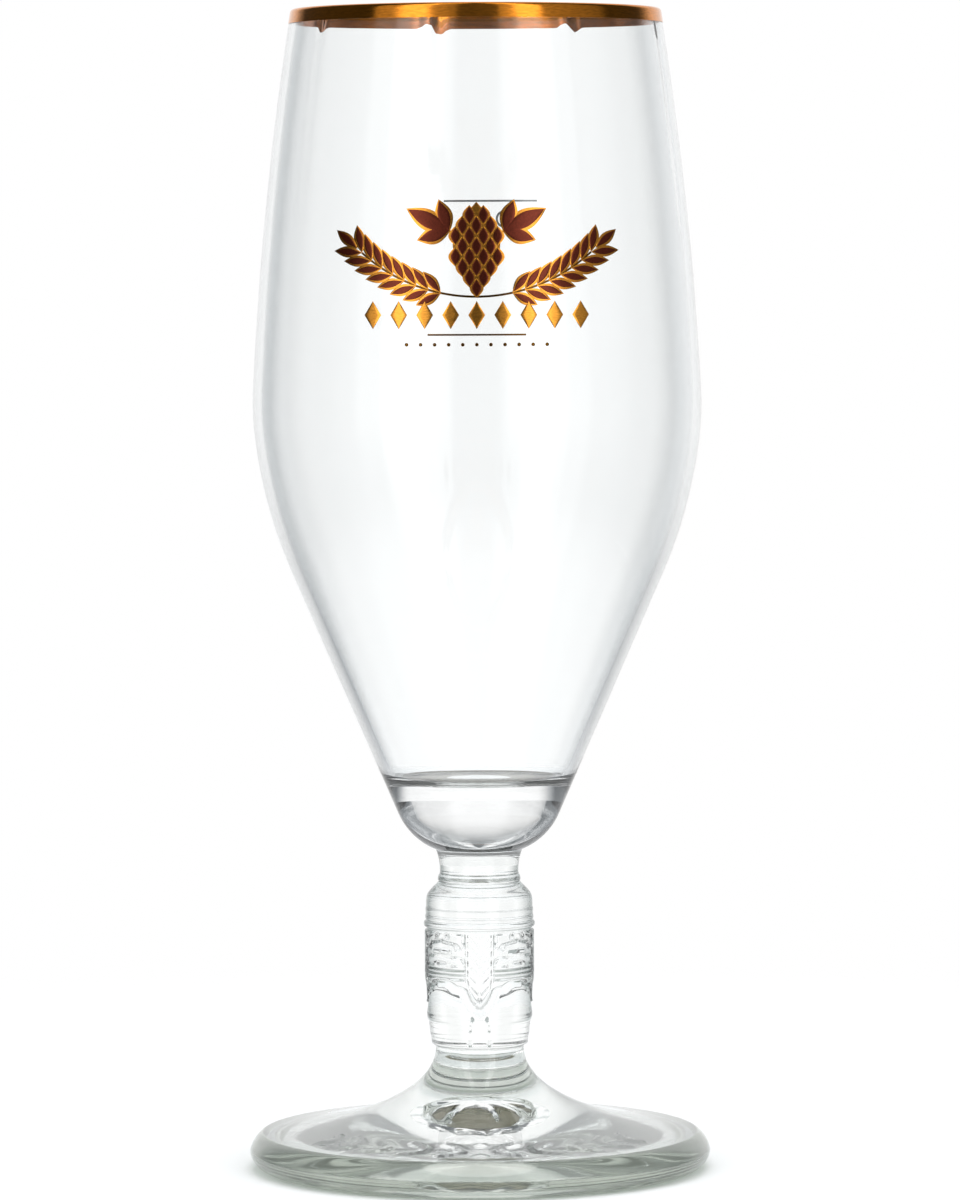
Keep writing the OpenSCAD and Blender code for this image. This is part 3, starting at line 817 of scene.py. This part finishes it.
class MakeFoot(bpy.types.Operator):
    """Pressed foot with its flare, rounded edge, embossed sprigs and punt"""

    bl_idname = "chalice.make_foot"
    bl_label = "Pressed Foot"

    def execute(self, context):
        s, looks = context.scene.foot_sizes, context.scene.finishes
        cap, flare, edge, sole, under, punt = foot_profile(s)
        run = cap + flare + edge + sole + under + punt
        row = np.arange(len(run))[:, None]
        on_top = (row >= len(cap)) & (row < len(cap) + len(flare))
        in_punt = row > len(run) - len(punt) - 1

        def relief(radius, height, turn):
            lift = sprigs(radius, turn) * mm(s.emboss) * on_top
            # Soft flutes that the plunger leaves up the punt
            flutes = in_punt * FLUTE_H * np.sin(turn * FLUTES)
            flutes = flutes * smooth_step(1.5, 5, radius) * smooth_step(8, 7, radius)
            return radius + flutes, height + lift

        points, faces, rows = revolve(run, FOOT_TURNS, relief)
        faces = [f[::-1] for f in faces]
        made = glasses(
            looks, "pressed_foot_glass", "moulded_underside_glass", "plunger_marked_punt_glass_painted_shade"
        )
        made.insert(2, thick_glass("thick_pressed_glass_edge", looks.thick_edge))
        # Rows where the joint, the top face, the edge with the sole and the underside end
        ends = np.cumsum([len(cap), len(flare) - 1, len(edge) + len(sole), len(under) - 1])
        # Kind 4, the punt, takes its glass with painted shade
        kinds = np.array([1, 0, 2, 3, 4])[np.searchsorted(ends, rows, side="right")]
        dress(link("pressed_foot", points, faces, made, kinds), "foot")
        return {"FINISHED"}


# Fired decoration

# Clearances of a printed patch and of the gold band from the glass, and half a leaf's width at
# its tip
GAP, BAND_GAP, TIP = 0.004, 0.012, 0.004


def soft_edge(v):
    """Height of a patch across it, as a share: level, and low at its edges."""
    return 1 - 0.9 * abs(v) ** 8


class Sheet:
    """Collects thin raised patches and lays them on the bowl's wall, at its front or its back."""

    def __init__(self, outline, side):
        self.outline, self.side = outline, side
        self.points, self.faces = [], []

    def grid(self, places):
        """Adds a grid of (x, z, height over the wall) places, an array of rows."""
        rows, columns = len(places), len(places[0])
        start = len(self.points)
        for row in places:
            for x, z, out in row:
                r = self.outline.radius(z) + out
                y = self.side * math.sqrt(r * r - x * x)
                self.points.append((-self.side * x, y, z))
        for i in range(rows - 1):
            for j in range(columns - 1):
                a = start + i * columns + j
                self.faces.append([a, a + 1, a + columns + 1, a + columns])

    def leaf(self, place, turn, size, lift, grow=0.0, lozenge=False):
        """A pointed leaf from place, turned from upright, of (length, width), grown all round."""
        l, w = size[0] + 2 * grow, size[1] + 2 * grow
        c, s = math.cos(turn), math.sin(turn)
        rows = []
        for u in np.linspace(0, 1, 17):
            half = w / 2 * (1 - abs(2 * u - 1) if lozenge else math.sin(math.pi * u))
            half = max(half, TIP)
            row = []
            for v in np.linspace(-1, 1, 9):
                x, y = v * half, l * u - grow
                across, up = place[0] + x * c - y * s, place[1] + x * s + y * c
                row.append((across, up, lift * soft_edge(v) + GAP))
            rows.append(row)
        self.grid(rows)

    def ribbon(self, path, width, lift):
        """A line of even width along a path of (x, z)."""
        path = np.array(path, float)
        way = np.gradient(path, axis=0)
        way /= np.linalg.norm(way, axis=1)[:, None]
        off = np.stack([-way[:, 1], way[:, 0]], 1)
        self.grid([
            [(*(p + o * v * width / 2), lift * soft_edge(v) + GAP) for v in np.linspace(-1, 1, 5)]
            for p, o in zip(path, off)
        ])

    def disc(self, place, radius, lift):
        """A round dot."""
        turns = np.linspace(0, 2 * math.pi, 17)
        self.grid([
            [(x, z, lift * soft_edge(t) + GAP)
             for x, z in ellipse(place, radius * t, radius * t, turns)]
            for t in (0.02, 0.5, 0.8, 1.0)
        ])

    def finish(self, name, finish):
        """The collected patches as one object."""
        return link(name, self.points, self.faces, [finish], sharp=60)


# Front print, as shares of half its width. Hop cone: leaves in each row from below, their pitch
# across and up, and a leaf's size as shares of these
CONE_ROWS = [1, 2, 3, 4, 3, 4, 3, 2]
CONE_PITCH, CONE_STEP, CONE_LEAF, CONE_CORE_W = 0.1, 0.074, (1.55, 0.74), 0.34
# Hop leaf: place in these pitches, size of its middle lobe, length (as a share of the middle's)
# and width of its side lobes, and the turns of the leaf and of its side lobes in degrees
HOP_PLACE = (1.95, 1.7)
HOP_LEAF, HOP_SIDE, HOP_SIDE_W, HOP_LEAN, HOP_LOBE = (0.33, 0.125), 0.68, 0.1, 62, 44
# Ears: radius, height and half turn of the stalk's arc. Grains: pairs, size, distance from the
# stalk in millimetres, first turn and spread along the arc, and turn from the stalk
STALK_ARC, STALK_RISE, STALK_TURN = 1.22, 0.88, 42
GRAIN_PAIRS, GRAIN, GRAIN_GAP = 8, (0.175, 0.056), 0.3
EAR_START, EAR_SPREAD, GRAIN_TURN = 12, 30, 38
# Below: lozenges, a rule and dots, by count, half the row's length and depth under the middle
LOZENGES, LOZENGE_HALF, LOZENGE_DOWN, LOZENGE = 9, 0.74, 0.57, (0.2, 0.12)
RULE_HALF, RULE_DOWN = 0.35, 0.61
DOTS, DOTS_HALF, DOTS_DOWN = 11, 0.5, 0.68
# Thickness of the gold in its lower layers, as a share of the top one's
OUTLINE_LAYER, STALK_LAYER, CORE_LAYER = 0.6, 0.5, 0.4


def row_of(count, half):
    """Places across a row of this many marks."""
    return [half * (2 * i / (count - 1) - 1) for i in range(count)]


def print_leaves(half):
    """Places, turns and sizes of the print's leaves: hop cone, hop leaves and ears."""
    pitch, step = half * CONE_PITCH, half * CONE_STEP
    made = []
    for i, count in enumerate(CONE_ROWS):
        for k in range(count):
            place = ((k - (count - 1) / 2) * pitch, (i - len(CONE_ROWS) / 2 + 1) * step)
            made.append((place, math.pi, (step * CONE_LEAF[0], pitch * CONE_LEAF[1])))
    lobe, lean = math.radians(HOP_LOBE), math.radians(HOP_LEAN)
    long, wide = half * HOP_LEAF[0], half * HOP_LEAF[1]
    for side in (-1, 1):
        place = (side * pitch * HOP_PLACE[0], step * HOP_PLACE[1])
        made.append((place, -side * lean, (long, wide)))
        for turn in (-1, 1):
            made.append((place, -side * lean + turn * lobe, (long * HOP_SIDE, half * HOP_SIDE_W)))
    radius, rise = half * STALK_ARC, half * STALK_RISE
    size = (half * GRAIN[0], half * GRAIN[1])
    last = GRAIN_PAIRS - 1
    for side in (-1, 1):
        for i in range(GRAIN_PAIRS):
            a = math.radians(EAR_START + EAR_SPREAD * i / last)
            x, y = side * radius * math.sin(a), rise - radius * math.cos(a)
            ends = [
                (side * (a - math.pi / 2 - row * math.radians(GRAIN_TURN)), GRAIN_GAP)
                for row in (-1, 1)
            ]
            if i == last:
                ends.append((side * (a - math.pi / 2), size[1]))
            for turn, base in ends:
                place = (x - base * math.sin(turn), y + base * math.cos(turn))
                made.append((place, turn, size))
    return made


def paint_on(scene):
    """Sizes and finishes of the fired decoration, and the outline that it lies on."""
    return scene.paint_sizes, scene.finishes, BowlOutline(scene.bowl_sizes)


class PaintRim(bpy.types.Operator):
    """Gold band over the lip"""

    bl_idname = "chalice.paint_rim"
    bl_label = "Gold Lip"

    def execute(self, context):
        s, looks, outline = paint_on(context.scene)
        centre, wall_r = outline.wall_c, outline.wall_r
        low = outline.lean_at(outline.rim_z - mm(s.band_h))
        low_in = outline.lean_at(outline.rim_z - mm(s.band_in_h))
        outside = arc(centre, wall_r, low, outline.rim_lean, 10)
        inside = outline.inner(arc(centre, wall_r, low_in, outline.rim_lean, 6))
        path = outside + outline.lip(18)[1:] + inside[::-1][1:]

        def moved(t):
            return [shifted(p, t, p[2]) for p in path]

        skin, back = moved(mm(s.layer)), moved(BAND_GAP)
        points, faces, rows = revolve(back[:1] + skin + back[::-1], BOWL_TURNS)
        gold = fired_gold("brushed_liquid_bright_gold", looks.rim_gold, 0.09, 1.2)
        under = fired_gold("underside_of_fired_gold", looks.gold_back, 0.14, 3.0)
        band = link("gold_lip_band", points, faces, [gold, under], rows > len(skin), sharp=60)
        dress(band, "rim_band")
        return {"FINISHED"}


class PrintFront(bpy.types.Operator):
    """Front print in copper-brown enamel and gold"""

    bl_idname = "chalice.print_front"
    bl_label = "Front Print"

    def execute(self, context):
        s, looks, outline = paint_on(context.scene)
        half, line, layer = mm(s.print_half), mm(s.outline), mm(s.layer)
        middle = outline.joint_z + mm(s.print_up)
        dark, gold = Sheet(outline, -1), Sheet(outline, -1)
        for place, turn, size in print_leaves(half):
            where = (place[0], place[1] + middle)
            dark.leaf(where, turn, size, layer)
            gold.leaf(where, turn, size, layer * OUTLINE_LAYER, grow=line)
        # Core of the cone, and the stalk that joins the ears
        step = half * CONE_STEP
        rows = len(CONE_ROWS)
        core = (step * rows, half * CONE_CORE_W)
        gold.leaf((0, middle - step * (rows - 1) / 2), 0, core, layer * CORE_LAYER)
        radius, rise = half * STALK_ARC, half * STALK_RISE
        stalk = [
            (radius * math.sin(a), middle + rise - radius * math.cos(a))
            for a in np.radians(np.linspace(-STALK_TURN, STALK_TURN, 97))
        ]
        gold.ribbon(stalk, line * 1.2, layer * STALK_LAYER)
        lozenge = (half * LOZENGE[0], half * LOZENGE[1])
        for x in row_of(LOZENGES, half * LOZENGE_HALF):
            gold.leaf((x, middle - half * LOZENGE_DOWN), 0, lozenge, layer, lozenge=True)
        rule, rule_z = half * RULE_HALF, middle - half * RULE_DOWN
        gold.ribbon([(x, rule_z) for x in np.linspace(-rule, rule, 25)], line, layer)
        for x in row_of(DOTS, half * DOTS_HALF):
            gold.disc((x, middle - half * DOTS_DOWN), line, layer)
        brown = fired_enamel("copper_brown_lustre_enamel", looks.print_brown, 0.85, 0.24)
        bright = fired_gold("screen_printed_gold", looks.print_gold, 0.2, 0.8)
        dress(dark.finish("front_print_brown", brown), "front_print_dark")
        dress(gold.finish("front_print_bright", bright), "front_print_gold")
        return {"FINISHED"}


class PrintMark(bpy.types.Operator):
    """Capacity line with its figures on the back wall"""

    bl_idname = "chalice.print_mark"
    bl_label = "Capacity Mark"

    def execute(self, context):
        s, looks, outline = paint_on(context.scene)
        z = outline.joint_z + mm(s.fill_up)
        h, w = mm(s.figure_h), mm(s.fill_w)
        stroke, lift = 0.34, 0.03
        mark = Sheet(outline, 1)
        mark.ribbon([(x, z) for x in np.linspace(-w / 2, w / 2, 49)], stroke, lift)
        low = z - h * 1.1
        # 0 as an oval, the comma as a dot, and 3 as two bows, in shares of the figures' height
        oval = (h * 0.46 - stroke / 2, h / 2 - stroke / 2)
        turns = np.linspace(0, 2 * math.pi, 41)
        mark.ribbon(ellipse((-h * 0.8, low), *oval, turns), stroke * 1.15, lift)
        mark.disc((-h * 0.12, low - h / 2 + 0.1), 0.26, lift)
        bow = h / 4 - stroke / 4
        for up, first, last in ((1, 150, -90), (-1, 90, -150)):
            turns = np.radians(np.linspace(first, last, 25))
            mark.ribbon(ellipse((h * 0.35, low + up * bow), bow * 1.1, bow, turns), stroke, lift)
        grey = fired_enamel("grey_transfer_enamel", looks.mark_grey, 0.0, 0.55)
        piece = mark.finish("capacity_mark", grey)
        c, t = math.cos(-s.fill_turn), math.sin(-s.fill_turn)
        for v in piece.data.vertices:
            x, y = v.co.x, v.co.y
            v.co.x, v.co.y = x * c - y * t, x * t + y * c
        dress(piece, "fill_mark")
        return {"FINISHED"}


# Stage

# What gloss sees round the room, by bearing from the camera: dark behind the camera, a strip light
# on each side of it, dark walls at the sides, and the white backdrop
ROOM = [
    (-180, 0.42), (-150, 0.4), (-132, 0.05), (-68, 0.04), (-64, 0.26), (-52, 0.28), (-47, 0.9),
    (-31, 1.0), (-27, 0.3), (-14, 0.22), (-10, 0.08), (13, 0.1), (16, 0.3), (22, 0.36), (27, 1.0),
    (39, 1.0), (43, 0.24), (84, 0.14), (90, 0.05), (122, 0.05), (140, 0.4), (180, 0.42),
]
# Lamps by name, place and width in metres, and power in watts
LAMPS = [
    ("overhead_softbox", (0.1, -0.1, 1.3), 1.1, 9.0),
    ("left_softbox", (-0.75, -0.9, 0.55), 0.7, 3.0),
    ("right_softbox", (0.75, -0.9, 0.55), 0.7, 3.0),
]
LAMP_AIM = (0, 0, 0.1)
# Distances in metres where the table starts to fade and where it is gone
FADE_FROM, FADE_TO = 0.06, 0.3


def set_camera(scene):
    """The camera that took the photo, as worked out from the ellipses of the glass."""
    s = scene.stage_sizes
    shot = bpy.data.cameras.new("camera")
    shot.sensor_width = 36
    shot.lens = s.lens
    shot.clip_start, shot.clip_end = 0.01, 50
    camera = bpy.data.objects.new("camera", shot)
    camera.rotation_mode = "ZYX"
    camera.location = (s.aside, -s.distance, s.height)
    camera.rotation_euler = (math.pi / 2 - s.pitch, 0, -s.roll)
    scene.collection.objects.link(camera)
    scene.camera = camera


def set_floor(scene):
    """A pale matt table that fades into the white backdrop and keeps the glass's shadow."""
    made, tree = material("matt_white_table")
    place = add(tree, "TexCoord").outputs["Object"]
    away = add(tree, "VectorMath", {0: place}, operation="LENGTH").outputs["Value"]
    fade = add(tree, "MapRange", {
        "Value": away, "From Min": FADE_FROM, "From Max": FADE_TO,
    }, interpolation_type="SMOOTHSTEP")
    matt = add(tree, "BsdfDiffuse", {"Color": linear(scene.finishes.floor)})
    both = add(tree, "MixShader", {0: fade, 1: matt, 2: add(tree, "BsdfTransparent")})
    add(tree, "OutputMaterial", {"Surface": both})
    turns, radius = 96, mm(scene.stage_sizes.floor_r)
    points = [(0, 0, 0)] + [
        (radius * math.sin(a), radius * math.cos(a), 0)
        for a in np.linspace(0, 2 * math.pi, turns, endpoint=False)
    ]
    faces = [[0, 1 + (i + 1) % turns, 1 + i] for i in range(turns)]
    link("floor", points, faces, [made])


def set_world(scene):
    """The soft studio, by direction and by the kind of ray that looks at it."""
    world = bpy.data.worlds.new("soft_studio")
    world.use_nodes = True
    tree = world.node_tree
    tree.nodes.clear()
    parts = add(tree, "SeparateXYZ", {0: add(tree, "TexCoord").outputs["Generated"]})
    up = parts.outputs["Z"]
    back = add(tree, "Math", {0: parts.outputs["Y"], 1: -1.0}, operation="MULTIPLY")
    turn = add(tree, "Math", {0: parts.outputs["X"], 1: back}, operation="ARCTAN2")
    eighths = add(tree, "Math", {0: turn, 1: 8.0}, operation="MULTIPLY")
    wave = add(tree, "Math", {0: eighths}, operation="COSINE")
    ahead = add(tree, "Math", {0: turn}, operation="COSINE")
    share = add(tree, "MapRange", {"Value": turn, "From Min": -math.pi, "From Max": math.pi})
    gloss = add(tree, "ValToRGB", {"Fac": share}, [
        ((bearing + 180) / 360, (grey, grey, grey, 1)) for bearing, grey in ROOM
    ])
    # Eight uprights that are a trace brighter than white, the darker top, the room by bearing
    # and by height, and the light that gloss finds, which is less under the horizon
    shade, lift, front, above, table = (
        add(tree, "MapRange", {
            "Value": value, "From Min": low, "From Max": high, "To Min": first, "To Max": last,
        }, interpolation_type="SMOOTHSTEP")
        for value, low, high, first, last in (
            (wave, -0.9, -0.1, 1.02, 1.1), (up, 0.25, 0.95, 1.0, 0.3),
            (ahead, 0.2, 0.6, 0.0, 1.0), (up, 0.0, 0.3, 0.0, 1.0),
            (up, -0.5, -0.05, 0.9, 2.6),
        )
    )
    # Glass sees white through itself, but for the dark room behind the camera, which grooves
    # and the punt throw back
    room = add(tree, "Math", {0: front, 1: above}, operation="MULTIPLY")
    open_side = add(tree, "Math", {0: 1.0, 1: room}, operation="SUBTRACT")
    sides = add(tree, "Math", {0: shade, 1: lift}, operation="MULTIPLY")
    through = add(tree, "Math", {0: sides, 1: open_side}, operation="MULTIPLY")
    through = add(tree, "Math", {0: through, 1: 0.1}, operation="MAXIMUM")
    # Light that has bounced inside the glass or off the gold's underside comes from the room,
    # as gloss does, but weaker
    path = add(tree, "LightPath").outputs
    bounced = add(tree, "Math", {0: path["Glossy Depth"], 1: 0.5}, operation="GREATER_THAN")
    strong = add(tree, "Math", {0: gloss, 1: table}, operation="MULTIPLY")
    soft = add(tree, "Math", {0: strong, 1: 1.15}, operation="MINIMUM")
    weak = add(tree, "Math", {0: soft, 1: 0.22}, operation="MAXIMUM")
    inside = add(tree, "Mix", {"Factor": bounced, "A": through, "B": weak})
    # Other light, then gloss, what is seen through glass, and the white backdrop itself
    seen = add(tree, "Mix", {"Factor": path["Is Glossy Ray"], "A": 0.72, "B": strong})
    seen = add(tree, "Mix", {"Factor": path["Is Transmission Ray"], "A": seen, "B": inside})
    seen = add(tree, "Mix", {"Factor": path["Is Camera Ray"], "A": seen, "B": 1.0})
    # Dark parts of the room are a cool grey
    dark, white = linear("#B3C1CB"), (1, 1, 1, 1)
    cool = add(tree, "ValToRGB", {"Fac": seen}, [(0.0, dark), (0.8, white)])
    sky = add(tree, "Background", {"Color": cool, "Strength": seen})
    add(tree, "OutputWorld", {"Surface": sky})
    scene.world = world


def set_lamps(scene):
    """Soft boxes that only light the table and the gold. Glass and gloss see the room."""
    for name, place, size, power in LAMPS:
        data = bpy.data.lights.new(name, "AREA")
        data.shape, data.size, data.energy = "SQUARE", size, power
        lamp = bpy.data.objects.new(name, data)
        lamp.location = place
        lamp.rotation_mode = "QUATERNION"
        aim = Vector(np.array(place) - np.array(LAMP_AIM))
        lamp.rotation_quaternion = aim.to_track_quat("Z", "Y")
        lamp.visible_glossy = False
        lamp.visible_transmission = False
        scene.collection.objects.link(lamp)


class SetStage(bpy.types.Operator):
    """Pale floor, soft light and the camera"""

    bl_idname = "chalice.set_stage"
    bl_label = "Stage"

    def execute(self, context):
        scene = context.scene
        set_floor(scene)
        set_world(scene)
        set_lamps(scene)
        set_camera(scene)
        scene.view_settings.view_transform = "Standard"
        return {"FINISHED"}


# Add-on

GROUPS = [
    ("bowl_sizes", BowlSizes), ("stem_sizes", StemSizes), ("foot_sizes", FootSizes),
    ("paint_sizes", PaintSizes), ("finishes", Finishes), ("stage_sizes", StageSizes),
]
STEPS = [MakeBowl, MakeStem, MakeFoot, PaintRim, PrintFront, PrintMark, SetStage]


class ChalicePanel(bpy.types.Panel):
    """Lists the steps that build the glass"""

    bl_idname = "VIEW3D_PT_chalice"
    bl_label = "Chalice Beer Glass"
    bl_space_type = "VIEW_3D"
    bl_region_type = "UI"
    bl_category = "Chalice"

    def draw(self, context):
        for step in STEPS:
            self.layout.operator(step.bl_idname)
        for name, group in GROUPS:
            box = self.layout.box()
            for prop in group.__annotations__:
                box.prop(getattr(context.scene, name), prop)


def register():
    """Adds the sizes, the steps and the panel."""
    for name, group in GROUPS:
        bpy.utils.register_class(group)
        setattr(bpy.types.Scene, name, bpy.props.PointerProperty(type=group))
    for step in STEPS:
        bpy.utils.register_class(step)
    bpy.utils.register_class(ChalicePanel)


def unregister():
    """Takes them away again."""
    bpy.utils.unregister_class(ChalicePanel)
    for step in reversed(STEPS):
        bpy.utils.unregister_class(step)
    for name, group in reversed(GROUPS):
        delattr(bpy.types.Scene, name)
        bpy.utils.unregister_class(group)


def main():
    """Runs the steps in order."""
    register()
    bpy.ops.chalice.make_bowl()
    bpy.ops.chalice.make_stem()
    bpy.ops.chalice.make_foot()
    bpy.ops.chalice.paint_rim()
    bpy.ops.chalice.print_front()
    bpy.ops.chalice.print_mark()
    bpy.ops.chalice.set_stage()


if __name__ == "__main__":
    main()
